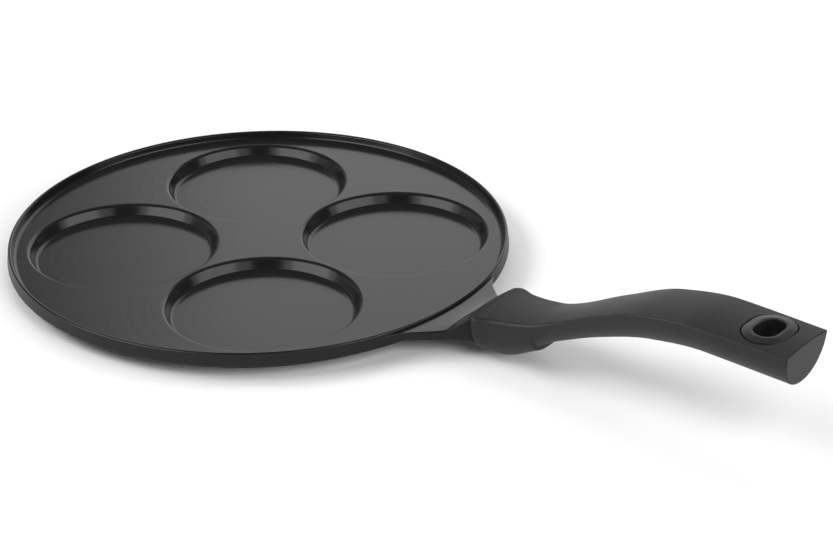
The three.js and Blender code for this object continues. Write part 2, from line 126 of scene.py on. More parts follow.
# Hang eyelet
EYELET_TO_TAIL = 19.8
EYELET_STRETCH = 6.0
EYELET_HOLE_RADIUS = 5.8
EYELET_RING_RADIUS = 11.1
EYELET_TUBE_WALL = 1.6
EYELET_TUBE_DEPTH = 9.0
EYELET_SEAT_DEPTH = 1.8
EYELET_RING_EDGE = 1.5
EYELET_RING_HEIGHT = 2.2
EYELET_RING_SLOPE = 3.6
EYELET_EDGE_ROUND = 0.5
EYELET_TOP_ROUND = 6.0
EYELET_INNER_ROUND = 0.5
EYELET_SEAM = 0.5

# Screw and washer
SCREW_TO_TANG_END = 10.7
SCREW_RADIUS = 2.5
SCREW_GRIP = 6.0
SCREW_HEAD_RADIUS = 4.6
SCREW_HEAD_HEIGHT = 3.0
SCREW_HEAD_ROUND = 1.8
SCREW_POCKET_DEPTH = 5.5
THREAD_PITCH = 1.0
THREAD_DEPTH = 0.35
CROSS_WIDTH = 1.1
CROSS_LENGTH = 5.0
CROSS_DEPTH = 1.6
CROSS_ROUND = 0.275
WASHER_RADIUS = 4.9
WASHER_THICKNESS = 1.2
WASHER_SPLIT = radians(9)
WASHER_EDGE_ROUND = 0.2
CLEARANCE = 0.3

# Smoothness
PAN_SEGMENTS = 256
WELL_SEGMENTS = 160
EYELET_SEGMENTS = 128
SCREW_SEGMENTS = 64
ROUND_STEPS = 8
WASHER_ROUND_STEPS = 4
THREAD_STEPS = 12  # rings in one turn of the thread
GRIP_SPACING = 1.0  # between the grip's sections, and closer at its flare and the belly's step
FLARE_SPACING = 0.4
BELLY_STEP_SPACING = 0.1
LONGEST_ROUND = 0.48  # share of a side that a round may take
TOUCHING = 0.001  # lengths closer than this are taken as equal
MERGE_DISTANCE = 1e-6  # in metres
CREASE = radians(35)

# Sizes that follow
PLATE_HEIGHT = RIM_HEIGHT - PLATE_DROP
FLANGE_HEIGHT = RIM_HEIGHT - FLANGE_DEPTH
WELL_PITCH_RADIUS = (WELL_RADIUS + WELL_WEB / 2) / sin(pi / WELL_COUNT)
WELL_WALL_LEAN = atan2(WELL_WALL_SLOPE, WELL_DEPTH)
WELL_WALL_TOP = WELL_RADIUS - WELL_LIP_ROUND * tan((pi / 2 - WELL_WALL_LEAN) / 2)
WELL_FLOOR_RADIUS = WELL_WALL_TOP - WELL_WALL_SLOPE
BASE_RADIUS = WELL_PITCH_RADIUS + WELL_FLOOR_RADIUS + BASE_WALL - WELL_FLOOR_ROUND
JOINT_X = PAN_RADIUS + BRACKET_LENGTH
GRIP_X = JOINT_X + CLEARANCE
EYELET_X = GRIP_X + TAIL["at"] - EYELET_TO_TAIL
SCREW_X = JOINT_X + TANG_LENGTH - SCREW_TO_TANG_END


def clamp(value, low=0.0, high=1.0):
    return min(max(value, low), high)


def blend(start, end, share):
    return start + (end - start) * share


def smooth(share):
    share = clamp(share)
    return share * share * (3 - 2 * share)


def metres(points):
    return [[value * MM for value in point] for point in points]


def close_up(piece):
    """Merges doubles and turns the faces outwards."""
    shell = bmesh.new()
    shell.from_mesh(piece.data)
    bmesh.ops.remove_doubles(shell, verts=shell.verts, dist=MERGE_DISTANCE)
    bmesh.ops.recalc_face_normals(shell, faces=shell.faces)
    shell.to_mesh(piece.data)
    shell.free()


def mesh_object(name, points, faces):
    """Mesh object from points in millimetres, with its doubles merged and its faces outwards."""
    mesh = bpy.data.meshes.new(name)
    mesh.from_pydata(metres(points), [], faces)
    piece = bpy.data.objects.new(name, mesh)
    bpy.context.scene.collection.objects.link(piece)
    close_up(piece)
    return piece


def settle(piece):
    """Turns what the modifiers make into a plain mesh."""
    view = bpy.context.evaluated_depsgraph_get()
    mesh = bpy.data.meshes.new_from_object(piece.evaluated_get(view))
    piece.modifiers.clear()
    piece.data = mesh


def carve(piece, tool, operation="DIFFERENCE"):
    """Cuts a closed tool out of a piece, or joins it on, and throws the tool away."""
    cut = piece.modifiers.new("carve", "BOOLEAN")
    cut.operation = operation
    cut.solver = "EXACT"
    cut.object = tool
    settle(piece)
    bpy.data.objects.remove(tool)


def dress(piece, finish):
    """Soft shading with crisp creases, true normals on flat faces, and one finish all over."""
    piece.data.materials.clear()
    piece.data.materials.append(finish)
    piece.data.polygons.foreach_set("material_index", [0] * len(piece.data.polygons))
    piece.data.shade_smooth()
    piece.data.set_sharp_from_angle(angle=CREASE)
    flats = piece.modifiers.new("flat faces stay flat", "WEIGHTED_NORMAL")
    flats.keep_sharp = True
    settle(piece)


def rounded(corners, closed=False):
    """Outline through corners (across, up, round), with each round drawn as an arc."""
    outline = []
    for index, (across, up, *rest) in enumerate(corners):
        corner = Vector((across, up))
        is_end = not closed and index in (0, len(corners) - 1)
        if is_end or not rest:
            outline.append(corner)
            continue
        back = Vector(corners[index - 1][:2]) - corner
        ahead = Vector(corners[(index + 1) % len(corners)][:2]) - corner
        half = back.angle(ahead) / 2
        longest = LONGEST_ROUND * min(back.length, ahead.length)
        reach = min(rest[0] / tan(half), longest)
        start = corner + back.normalized() * reach
        middle = (back.normalized() + ahead.normalized()).normalized()
        centre = corner + middle * reach / cos(half)
        turn = pi - 2 * half
        if back.x * ahead.y - back.y * ahead.x > 0:
            turn = -turn
        for step in range(ROUND_STEPS + 1):
            spoke = Matrix.Rotation(turn * step / ROUND_STEPS, 2) @ (start - centre)
            outline.append(centre + spoke)
    return outline


def ring_points(radius, height, segments):
    angles = (2 * pi * k / segments for k in range(segments))
    return [(radius * cos(angle), radius * sin(angle), height) for angle in angles]


def turned(outline, segments):
    """Points and faces of an outline of (radius, height) turned about +Z."""
    points, faces, rings = [], [], []
    for radius, height in outline:
        ring = [(0, 0, height)] if radius == 0 else ring_points(radius, height, segments)
        rings.append(range(len(points), len(points) + len(ring)))
        points += ring
    for low, high in zip(rings, rings[1:]):
        for k in range(segments):
            after = (k + 1) % segments
            corners = [low[k % len(low)], low[after % len(low)]]
            corners += [high[after % len(high)], high[k % len(high)]]
            faces.append(list(dict.fromkeys(corners)))
    return points, faces


def loft(sections):
    """Points and faces of a closed skin through sections of (x, [(across, up), ...])."""
    ring = len(sections[0][1])
    points = [(x, across, up) for x, section in sections for across, up in section]
    faces = []
    for start in range(0, (len(sections) - 1) * ring, ring):
        for k in range(ring):
            after = (k + 1) % ring
            faces.append((start + k, start + after, start + ring + after, start + ring + k))
    faces.append(range(ring))
    faces.append(range(len(points) - ring, len(points)))
    return points, faces


def along(stations, key, at):
    """Smooth value along a row of stations, with no overshoot between them."""
    pairs = list(zip(stations, stations[1:]))
    slopes = [(b[key] - a[key]) / (b["at"] - a["at"]) for a, b in pairs]
    tangents = [slopes[0]]
    for before, after in zip(slopes, slopes[1:]):
        same_way = before * after > 0
        tangents.append(2 * before * after / (before + after) if same_way else 0.0)
    tangents.append(slopes[-1])
    k = next((i for i, (_, b) in enumerate(pairs) if b["at"] >= at), len(pairs) - 1)
    low, high = pairs[k]
    span = high["at"] - low["at"]
    t = clamp((at - low["at"]) / span)
    lead = t * (1 - t) * ((1 - t) * tangents[k] - t * tangents[k + 1])
    return blend(low[key], high[key], smooth(t)) + lead * span


def cross_section(half_width, top, crown, edge, under, fullness):
    """Section of bracket and grip: crowned top, rounded edges, full lower curve."""
    crown_steps, edge_steps, lower_steps = 16, 8, 48
    edge = min(edge, half_width / 2, (top - under) / 2)
    side = top - edge
    points = []
    for step in range(crown_steps + 1):
        u = 1 - 2 * step / crown_steps
        points.append((u * (half_width - edge), top + crown * (1 - u * u)))
    lower = []
    for step in range(lower_steps + 1):
        angle = pi * step / lower_steps
        across = abs(cos(angle)) ** (2 / fullness) * (-1 if angle < pi / 2 else 1)
        lower.append((half_width * across, side - (side - under) * sin(angle) ** (2 / fullness)))
    corner = []
    for step in range(1, edge_steps):
        angle = pi / 2 * step / edge_steps
        corner.append((half_width - edge + edge * cos(angle), side + edge * sin(angle)))
    mirrored = [(-across, up) for across, up in reversed(corner)]
    return points + mirrored + lower + corner


def rounded_bar(from_x, to_x, width, thickness, height, edge):
    """Points and faces of a bar along +X with rounded long edges."""
    outline = rounded([
        (-width / 2, height - thickness / 2, edge),
        (width / 2, height - thickness / 2, edge),
        (width / 2, height + thickness / 2, edge),
        (-width / 2, height + thickness / 2, edge),
    ], closed=True)
    return loft([(from_x, outline), (to_x, outline)])


def moved(points, x):
    return [(point[0] + x, *point[1:]) for point in points]


def round_bar(name, radius, from_z, to_z, x=0.0, segments=SCREW_SEGMENTS):
    points, faces = turned([(0, from_z), (radius, from_z), (radius, to_z), (0, to_z)], segments)
    return mesh_object(name, moved(points, x), faces)


# Node trees

def tree_node(tree, kind, settings=(), **inputs):
    """New node with its settings, and its inputs set or linked by name."""
    made = tree.nodes.new(kind)
    for name, value in dict(settings).items():
        setattr(made, name, value)
    plug_all(tree, made, inputs)
    return made


def plug_all(tree, made, inputs):
    """Sets or links a node's inputs by name, with _ for a space."""
    for name, value in inputs.items():
        label = name.replace("_", " ")
        plug(tree, next(s for s in made.inputs if s.enabled and s.name == label), value)


def plug(tree, socket, value):
    if isinstance(value, bpy.types.NodeSocket):
        tree.links.new(value, socket)
    else:
        socket.default_value = value


def maths(tree, operation, first, second):
    """Result of a sum on two numbers, each a value or a socket."""
    made = tree_node(tree, "ShaderNodeMath", {"operation": operation})
    plug(tree, made.inputs[0], first)
    plug(tree, made.inputs[1], second)
    return made.outputs[0]


def shape_tree(name, sizes):
    """Empty Geometry Nodes tree with a geometry in and out and named sizes."""
    tree = bpy.data.node_groups.new(name, "GeometryNodeTree")
    tree.interface.new_socket("Geometry", in_out="INPUT", socket_type="NodeSocketGeometry")
    for label, kind in sizes.items():
        tree.interface.new_socket(label, in_out="INPUT", socket_type="NodeSocket" + kind)
    tree.interface.new_socket("Geometry", in_out="OUTPUT", socket_type="NodeSocketGeometry")
    return tree, tree.nodes.new("NodeGroupInput").outputs, tree.nodes.new("NodeGroupOutput").inputs


def shape_by(piece, tree, values):
    """Shapes a piece by a tree, with its sizes set by socket identifier."""
    modifier = piece.modifiers.new(tree.name, "NODES")
    modifier.node_group = tree
    for socket in tree.interface.items_tree:
        if socket.in_out == "INPUT" and socket.name in values:
            modifier[socket.identifier] = values[socket.name]
    settle(piece)


def join(tree, *parts):
    joined = tree.nodes.new("GeometryNodeJoinGeometry")
    for part in parts:
        tree.links.new(part, joined.inputs[0])
    return joined.outputs[0]


def finish_tree(tree, geometry, finish, out):
    """Ends a tree: real geometry, no doubles, one finish."""
    real = tree_node(tree, "GeometryNodeRealizeInstances", Geometry=geometry)
    whole = tree_node(
        tree, "GeometryNodeMergeByDistance", Geometry=real.outputs[0], Distance=MERGE_DISTANCE)
    coated = tree_node(tree, "GeometryNodeSetMaterial", Geometry=whole.outputs[0], Material=finish)
    tree.links.new(coated.outputs[0], out["Geometry"])


def wells_tree():
    """Plate with a ring of holes, and the same bowl hung in each hole."""
    tree, sizes, out = shape_tree("wells in the plate", {
        "Bowl": "Object", "Wells": "Int", "Pitch radius": "Float", "First angle": "Float",
        "Lip radius": "Float", "Lip segments": "Int", "Plate radius": "Float",
        "Plate segments": "Int", "Plate height": "Float", "Coating": "Material",
    })
    circle = tree_node(
        tree, "GeometryNodeMeshCircle", Vertices=sizes["Wells"], Radius=sizes["Pitch radius"])
    turn = tree_node(tree, "ShaderNodeCombineXYZ", Z=sizes["First angle"])
    centres = tree_node(
        tree, "GeometryNodeTransform", Geometry=circle.outputs[0], Rotation=turn.outputs[0])
    bowl = tree_node(tree, "GeometryNodeObjectInfo", Object=sizes["Bowl"])
    bowls = tree_node(
        tree, "GeometryNodeInstanceOnPoints",
        Points=centres.outputs[0], Instance=bowl.outputs["Geometry"])
    lip = tree_node(
        tree, "GeometryNodeCurvePrimitiveCircle",
        Resolution=sizes["Lip segments"], Radius=sizes["Lip radius"])
    lips = tree_node(
        tree, "GeometryNodeInstanceOnPoints", Points=centres.outputs[0], Instance=lip.outputs[0])
    edge = tree_node(
        tree, "GeometryNodeCurvePrimitiveCircle",
        Resolution=sizes["Plate segments"], Radius=sizes["Plate radius"])
    real_lips = tree_node(tree, "GeometryNodeRealizeInstances", Geometry=lips.outputs[0])
    sheet = tree_node(
        tree, "GeometryNodeFillCurve", Curve=join(tree, edge.outputs[0], real_lips.outputs[0]))
    height = tree_node(tree, "ShaderNodeCombineXYZ", Z=sizes["Plate height"])
    plate = tree_node(
        tree, "GeometryNodeTransform", Geometry=sheet.outputs[0], Translation=height.outputs[0])
    whole = join(tree, sizes["Geometry"], plate.outputs[0], bowls.outputs[0])
    finish_tree(tree, whole, sizes["Coating"], out)
    return tree


def split_washer_tree():
    """Bar of spring steel bent round a circle, with a split left open."""
    tree, sizes, out = shape_tree("split washer", {
        "Middle radius": "Float", "Width": "Float", "Thickness": "Float", "Edge round": "Float",
        "Split": "Float", "Segments": "Int", "Place": "Vector", "Steel": "Material",
    })
    start = maths(tree, "MULTIPLY", sizes["Split"], 0.5)
    sweep = maths(tree, "SUBTRACT", 2 * pi, sizes["Split"])
    path = tree_node(
        tree, "GeometryNodeCurveArc", Resolution=sizes["Segments"], Radius=sizes["Middle radius"],
        Start_Angle=start, Sweep_Angle=sweep)
    bar = tree_node(
        tree, "GeometryNodeCurvePrimitiveQuadrilateral", Width=sizes["Width"], Height=sizes["Thickness"])
    eased = tree_node(
        tree, "GeometryNodeFilletCurve", {"mode": "POLY"},
        Curve=bar.outputs[0], Radius=sizes["Edge round"], Count=WASHER_ROUND_STEPS)
    ring = tree_node(
        tree, "GeometryNodeCurveToMesh",
        Curve=path.outputs[0], Profile_Curve=eased.outputs[0], Fill_Caps=True)
    placed = tree_node(
        tree, "GeometryNodeTransform", Geometry=ring.outputs[0], Translation=sizes["Place"])
    finish_tree(tree, join(tree, sizes["Geometry"], placed.outputs[0]), sizes["Steel"], out)
    return tree


# Pan

def base_outline():
    """Underside from the axis outwards, with turned grooves."""
    outline = [(0, 0)]
    radius = FIRST_GROOVE
    while radius + GROOVE_PITCH < BASE_RADIUS - BASE_EDGE_ROUND:
        outline += [
            (radius, 0),
            (radius + GROOVE_SLOPE, GROOVE_DEPTH),
            (radius + GROOVE_WIDTH - GROOVE_SLOPE, GROOVE_DEPTH),
            (radius + GROOVE_WIDTH, 0),
        ]
        radius += GROOVE_PITCH
    return outline


def pan_shell():
    """Base, outer wall and rim, open where the plate goes; also gives the plate's radius."""
    rim_inside = PAN_RADIUS - RIM_WIDTH
    rim_foot = rim_inside - RIM_WALL_SLOPE
    on_plate = rim_foot - 4 * RIM_FOOT_ROUND  # only gives the foot's round its direction
    crest = RIM_HEIGHT + RIM_CREST
    outline = rounded([
        *base_outline(),
        (BASE_RADIUS, 0, BASE_EDGE_ROUND),
        (BASE_RADIUS, FLANGE_HEIGHT, BASE_EDGE_ROUND),
        (PAN_RADIUS, FLANGE_HEIGHT, FLANGE_EDGE_ROUND),
        (PAN_RADIUS - RIM_FLARE, crest, RIM_ROUND),
        (rim_inside, crest, RIM_INNER_ROUND),
        (rim_foot, PLATE_HEIGHT, RIM_FOOT_ROUND),
        (on_plate, PLATE_HEIGHT),
    ])[:-1]
    plate_radius = outline[-1][0]
    return mesh_object("coated_casting", *turned(outline, PAN_SEGMENTS)), plate_radius


def well_bowl():
    """One well, from the middle of its floor up to its lip."""
    floor = PLATE_HEIGHT - WELL_DEPTH
    outline = rounded([
        (0, floor),
        (WELL_FLOOR_RADIUS, floor, WELL_FLOOR_ROUND),
        (WELL_WALL_TOP, PLATE_HEIGHT, WELL_LIP_ROUND),
        (WELL_RADIUS + WELL_DEPTH, PLATE_HEIGHT),
    ])
    return mesh_object("well_bowl", *turned(outline[:-1], WELL_SEGMENTS))


def bracket():
    """Sides run out of the rim in a curve and taper to the joint, and the top rises to the handle."""
    root_radius = PAN_RADIUS - BRACKET_ROOT_INSET
    root_cos, root_sin = cos(BRACKET_ROOT_ANGLE), sin(BRACKET_ROOT_ANGLE)
    root = Vector((root_radius * root_cos, root_radius * root_sin))

    def taper_at(x):
        return FRONT["half_width"] + BRACKET_TAPER * (JOINT_X - x)

    to_corner = (root.y - taper_at(root.x)) / (root_cos - BRACKET_TAPER * root_sin)
    corner = Vector((root.x + to_corner * root_sin, root.y - to_corner * root_cos))
    taper_x = corner.x + to_corner * BRACKET_ROOT_BEND
    taper_start = Vector((taper_x, taper_at(taper_x)))
    heights = [
        {"at": root.x, "top": -BRACKET_ROOT_DROP, "under": BRACKET_UNDERSIDE},
        {"at": PAN_RADIUS, "top": -BRACKET_ROOT_DROP / 3, "under": BRACKET_UNDERSIDE},
        {"at": PAN_RADIUS + BRACKET_SHELF, "top": BRACKET_SHELF_HEIGHT, "under": BRACKET_UNDERSIDE},
        {"at": JOINT_X, "top": FRONT["top"] - BRACKET_STEP, "under": FRONT["under"]},
    ]
    bend_steps, taper_steps = 24, 40
    sides = []
    for step in range(bend_steps):
        t = step / bend_steps
        sides.append(root * (1 - t) ** 2 + corner * 2 * t * (1 - t) + taper_start * t * t)
    end_start = JOINT_X - BRACKET_END_ROUND
    for step in range(taper_steps):
        x = blend(taper_x, end_start, step / taper_steps)
        sides.append(Vector((x, taper_at(x))))
    for step in range(ROUND_STEPS + 1):
        x = end_start + BRACKET_END_ROUND * sin(pi / 2 * step / ROUND_STEPS)
        sides.append(Vector((x, taper_at(x))))
    sections = []
    for x, half_width in sides:
        share = smooth((x - PAN_RADIUS) / (JOINT_X - PAN_RADIUS))
        turn = clamp((x - end_start) / BRACKET_END_ROUND)
        inset = BRACKET_END_ROUND * (1 - sqrt(1 - turn * turn))
        sections.append((x, cross_section(
            half_width=half_width - inset,
            top=RIM_HEIGHT + along(heights, "top", x) - inset,
            under=RIM_HEIGHT + along(heights, "under", x) + inset,
            crown=FRONT["crown"] * share,
            edge=blend(BRACKET_EDGE_ROUND, FRONT["edge"], share),
            fullness=blend(BRACKET_ROOT_FULLNESS, FRONT["fullness"], share),
        )))
    piece = mesh_object("bracket", *loft(sections))
    carve(piece, round_bar(
        "inside the rim", PAN_RADIUS - RIM_WIDTH / 2, -RIM_HEIGHT, 2 * RIM_HEIGHT,
        segments=PAN_SEGMENTS))
    return piece


def tang(clearance=0.0):
    """Tang, or with a clearance the socket that takes it."""
    return mesh_object("tang", *rounded_bar(
        JOINT_X - TANG_ROOT,
        JOINT_X + TANG_LENGTH + clearance,
        TANG_WIDTH + 2 * clearance,
        TANG_THICKNESS + 2 * clearance,
        RIM_HEIGHT + TANG_HEIGHT,
        TANG_ROUND + clearance,
    ))


def coated_casting(finish):
    """Plate with four wells, rim, base, bracket and tang in one casting."""
    piece, plate_radius = pan_shell()
    bowl = well_bowl()
    shape_by(piece, wells_tree(), {
        "Bowl": bowl,
        "Wells": WELL_COUNT,
        "Pitch radius": WELL_PITCH_RADIUS * MM,
        "First angle": pi / WELL_COUNT,
        "Lip radius": WELL_RADIUS * MM,
        "Lip segments": WELL_SEGMENTS,
        "Plate radius": plate_radius * MM,
        "Plate segments": PAN_SEGMENTS,
        "Plate height": PLATE_HEIGHT * MM,
        "Coating": finish,
    })
    bpy.data.objects.remove(bowl)
    close_up(piece)
    tang_underside = RIM_HEIGHT + TANG_HEIGHT - TANG_THICKNESS / 2
    carve(piece, bracket(), "UNION")
    carve(piece, tang(), "UNION")
    carve(piece, round_bar(
        "screw hole", SCREW_RADIUS + CLEARANCE, tang_underside - TANG_THICKNESS,
        tang_underside + SCREW_GRIP + CLEARANCE, SCREW_X))
    dress(piece, finish)
    return piece


# Handle

def grip_section(at):
    """Values of the grip's cross-section at a distance from its front face."""
    front = [FRONT, SHOULDER, WING, BELLY, WAIST]
    back = [NECK, RISE, ARCH, SWELL, TAIL]
    whole = front + back
    belly_line = front + [{"at": NECK["at"], "under": NECK["under"] - BELLY_STEP}]
    neck_line = [{"at": WAIST["at"], "under": WAIST["under"] + BELLY_STEP}] + back
    behind_step = smooth((at - BELLY_STEP_AT) / BELLY_STEP_RUN)
    under = blend(along(belly_line, "under", at), along(neck_line, "under", at), behind_step)
    front_turn = clamp(1 - at / FRONT_ROUND)
    tail_turn = clamp(1 - (TAIL["at"] - at) / TAIL_ROUND)
    inset = FRONT_ROUND * (1 - sqrt(1 - front_turn ** 2)) + TAIL_ROUND * (1 - sqrt(1 - tail_turn ** 2))
    return {
        "half_width": along(whole, "half_width", at) - inset,
        "top": RIM_HEIGHT + along(whole, "top", at) - inset,
        "under": RIM_HEIGHT + under + inset,
        "crown": along(whole, "crown", at),
        "edge": along(whole, "edge", at),
        "fullness": along(whole, "fullness", at),
    }


def spread(start, end, step):
    """Places from start up to end, evenly spaced by about a step."""
    count = ceil((end - start) / step)
    return [blend(start, end, k / count) for k in range(count)]


def grip_skin():
    """Outer skin of the grip, with close stations at its ends, its flare and the belly's step."""
    turn = [pi / 2 * k / ROUND_STEPS for k in range(ROUND_STEPS)]
    places = [FRONT_ROUND * (1 - cos(angle)) for angle in turn]
    places += spread(FRONT_ROUND, BELLY["at"], FLARE_SPACING)
    places += spread(BELLY["at"], BELLY_STEP_AT, GRIP_SPACING)
    places += spread(BELLY_STEP_AT, BELLY_STEP_AT + BELLY_STEP_RUN, BELLY_STEP_SPACING)
    places += spread(BELLY_STEP_AT + BELLY_STEP_RUN, TAIL["at"] - TAIL_ROUND, GRIP_SPACING)
    places += [TAIL["at"] - TAIL_ROUND * (1 - sin(angle)) for angle in turn] + [TAIL["at"]]
    points, faces = loft([(GRIP_X + at, cross_section(**grip_section(at))) for at in places])
    leaned = []
    for x, across, up in points:
        share = clamp((x - GRIP_X - SWELL["at"]) / (TAIL["at"] - SWELL["at"]))
        leaned.append((x - tan(TAIL_LEAN) * share * (RIM_HEIGHT + TAIL["top"] - up), across, up))
    return mesh_object("moulded_handle", leaned, faces)


def eyelet_seat():
    crown = grip_section(TAIL["at"] - EYELET_TO_TAIL)
    return crown["top"] + crown["crown"] - EYELET_SEAT_DEPTH


def stadium(name, outline):
    """Turned outline pulled apart across the handle, at the eyelet's place."""
    points, faces = turned(outline, EYELET_SEGMENTS)
    pulled = []
    for x, y, z in points:
        side = EYELET_STRETCH / 2 * (1 if y > TOUCHING else -1 if y < -TOUCHING else 0)
        pulled.append((x + EYELET_X, y + side, z))
    return mesh_object(name, pulled, faces)


def eyelet_slot():
    """Seat for the ring, room for the tube, and the hole right through."""
    seat = eyelet_seat()
    ring = EYELET_RING_RADIUS + EYELET_SEAM
    tube = EYELET_HOLE_RADIUS + EYELET_TUBE_WALL + CLEARANCE
    foot = seat - EYELET_TUBE_DEPTH - CLEARANCE
    return stadium("eyelet slot", [
        (0, RIM_HEIGHT), (EYELET_HOLE_RADIUS, RIM_HEIGHT), (EYELET_HOLE_RADIUS, foot), (tube, foot),
        (tube, seat - CLEARANCE), (ring, seat - CLEARANCE),
        (ring, seat + EYELET_TUBE_DEPTH), (0, seat + EYELET_TUBE_DEPTH),
    ])


def washer_seat():
    return grip_section(SCREW_X - GRIP_X)["under"] + SCREW_POCKET_DEPTH


def moulded_handle(finish):
    """Grip with its socket, screw hole, head pocket and eyelet slot cut in."""
    piece = grip_skin()
    belly = grip_section(SCREW_X - GRIP_X)["under"]
    carve(piece, tang(CLEARANCE))
    carve(piece, round_bar(
        "screw hole", SCREW_RADIUS + CLEARANCE, belly, RIM_HEIGHT + TANG_HEIGHT, SCREW_X))
    carve(piece, round_bar(
        "head pocket", WASHER_RADIUS + CLEARANCE, belly - SCREW_POCKET_DEPTH,
        washer_seat() + CLEARANCE, SCREW_X))
    carve(piece, eyelet_slot())
    dress(piece, finish)
    return piece


def eyelet_ring(finish):
    """Convex ring on the handle's top with a tube down into the slot."""
    seat = eyelet_seat()
    tube = EYELET_HOLE_RADIUS + EYELET_TUBE_WALL
    foot = seat - EYELET_TUBE_DEPTH
    ring_top = seat + EYELET_RING_HEIGHT
    outline = rounded([
        (EYELET_HOLE_RADIUS, foot),
        (tube, foot),
        (tube, seat),
        (EYELET_RING_RADIUS, seat),
        (EYELET_RING_RADIUS, seat + EYELET_RING_EDGE, EYELET_EDGE_ROUND),
        (EYELET_RING_RADIUS - EYELET_RING_SLOPE, ring_top, EYELET_TOP_ROUND),
        (EYELET_HOLE_RADIUS, ring_top, EYELET_INNER_ROUND),
    ], closed=True)
    piece = stadium("eyelet_ring", outline + outline[:1])
    dress(piece, finish)
    return piece


# Fastening

def thread(points, low, high):
    """Presses a thread into the points of a shank between two heights."""
    cut = []
    for x, y, z in points:
        radius = sqrt(x * x + y * y)
        turns = z / THREAD_PITCH - atan2(y, x) / (2 * pi)
        valley = 1 - abs(2 * (turns % 1) - 1)
        fade = clamp((z - low) / THREAD_PITCH) * clamp((high - z) / THREAD_PITCH)
        on_shank = abs(radius - SCREW_RADIUS) < TOUCHING
        share = 1 - THREAD_DEPTH * valley * fade / radius if on_shank else 1
        cut.append((x * share, y * share, z))
    return cut


def dome_head_screw(finish):
    """Screw with a domed head below, a cross recess, and a threaded shank up into the tang."""
    head_top = washer_seat() - WASHER_THICKNESS - CLEARANCE
    head_low = head_top - SCREW_HEAD_HEIGHT
    shank_top = RIM_HEIGHT + TANG_HEIGHT - TANG_THICKNESS / 2 + SCREW_GRIP
    shank = [(SCREW_RADIUS, z) for z in spread(head_top, shank_top, THREAD_PITCH / THREAD_STEPS)]
    outline = rounded([
        (0, head_low),
        (SCREW_HEAD_RADIUS, head_low, SCREW_HEAD_ROUND),
        (SCREW_HEAD_RADIUS, head_top),
        *shank,
        (SCREW_RADIUS, shank_top),
        (0, shank_top),
    ])
    points, faces = turned(outline, SCREW_SEGMENTS)
    piece = mesh_object("dome_head_screw", moved(thread(points, head_top, shank_top), SCREW_X), faces)
    for along_x in (True, False):
        length, width = (CROSS_LENGTH, CROSS_WIDTH) if along_x else (CROSS_WIDTH, CROSS_LENGTH)
        carve(piece, mesh_object("cross recess", *rounded_bar(
            SCREW_X - length / 2, SCREW_X + length / 2, width, 2 * CROSS_DEPTH, head_low,
            CROSS_ROUND)))
    dress(piece, finish)
    return piece


def split_washer(finish):
    """Washer on the screw, against its seat in the belly's pocket."""
    inner = SCREW_RADIUS + CLEARANCE
    piece = mesh_object("split_washer", [], [])
    shape_by(piece, split_washer_tree(), {
        "Middle radius": (WASHER_RADIUS + inner) / 2 * MM,
        "Width": (WASHER_RADIUS - inner) * MM,
        "Thickness": WASHER_THICKNESS * MM,
        "Edge round": WASHER_EDGE_ROUND * MM,
        "Split": WASHER_SPLIT,
        "Segments": SCREW_SEGMENTS,
        "Place": (SCREW_X * MM, 0, (washer_seat() - WASHER_THICKNESS / 2) * MM),
        "Steel": finish,
    })
    close_up(piece)
    dress(piece, finish)
    return piece


# Finishes

def new_finish(name, roughness, metallic=0.0):
    """New material with its node tree, its shader and the place on the piece."""
    finish = bpy.data.materials.new(name)
    finish.use_nodes = True
    tree = finish.node_tree
    shader = tree.nodes["Principled BSDF"]
    shader.inputs["Roughness"].default_value = roughness
    shader.inputs["Metallic"].default_value = metallic
    place = tree.nodes.new("ShaderNodeTexCoord").outputs["Object"]
    return finish, tree, shader, place


def grain(tree, place, size, detail=2.0):
    """Soft random grain with features of about a size in millimetres."""
    made = tree_node(tree, "ShaderNodeTexNoise", Vector=place, Scale=1 / (size * MM), Detail=detail)
    return made.outputs[0]


def two_tone(tree, share, dark, light):
    """Colour that drifts between two tones."""
    ramp = tree_node(tree, "ShaderNodeValToRGB", Fac=share)
    for stop, tone, position in zip(ramp.color_ramp.elements, (dark, light), (0.3, 0.7)):
        stop.color = (*tone, 1)
        stop.position = position
    return ramp.outputs[0]


def between(tree, share, low, high):
    """Number that drifts between two values."""
    made = tree_node(tree, "ShaderNodeMapRange", Value=share, To_Min=low, To_Max=high)
    return made.outputs[0]


def relief(tree, height, depth, under=None):
    """Fine relief of a depth in millimetres, on top of another one."""
    made = tree_node(tree, "ShaderNodeBump", Height=height, Distance=depth * MM)
    if under:
        tree.links.new(under, made.inputs["Normal"])
    return made.outputs[0]


def turned_lines(tree, place):
    """Rings about the nearest well's middle, as a tool leaves them."""
    folded = tree_node(tree, "ShaderNodeVectorMath", {"operation": "ABSOLUTE"}, Vector=place)
    middle = WELL_PITCH_RADIUS * sqrt(0.5) * MM
    centred = tree_node(
        tree, "ShaderNodeMapping", Vector=folded.outputs[0], Location=(-middle, -middle, 0))
    rings = tree_node(
        tree, "ShaderNodeTexWave", {"wave_type": "RINGS", "rings_direction": "Z"},
        Vector=centred.outputs[0], Scale=50.0, Distortion=1.5, Detail=2.0, Detail_Scale=0.6)
    return rings.outputs["Fac"]


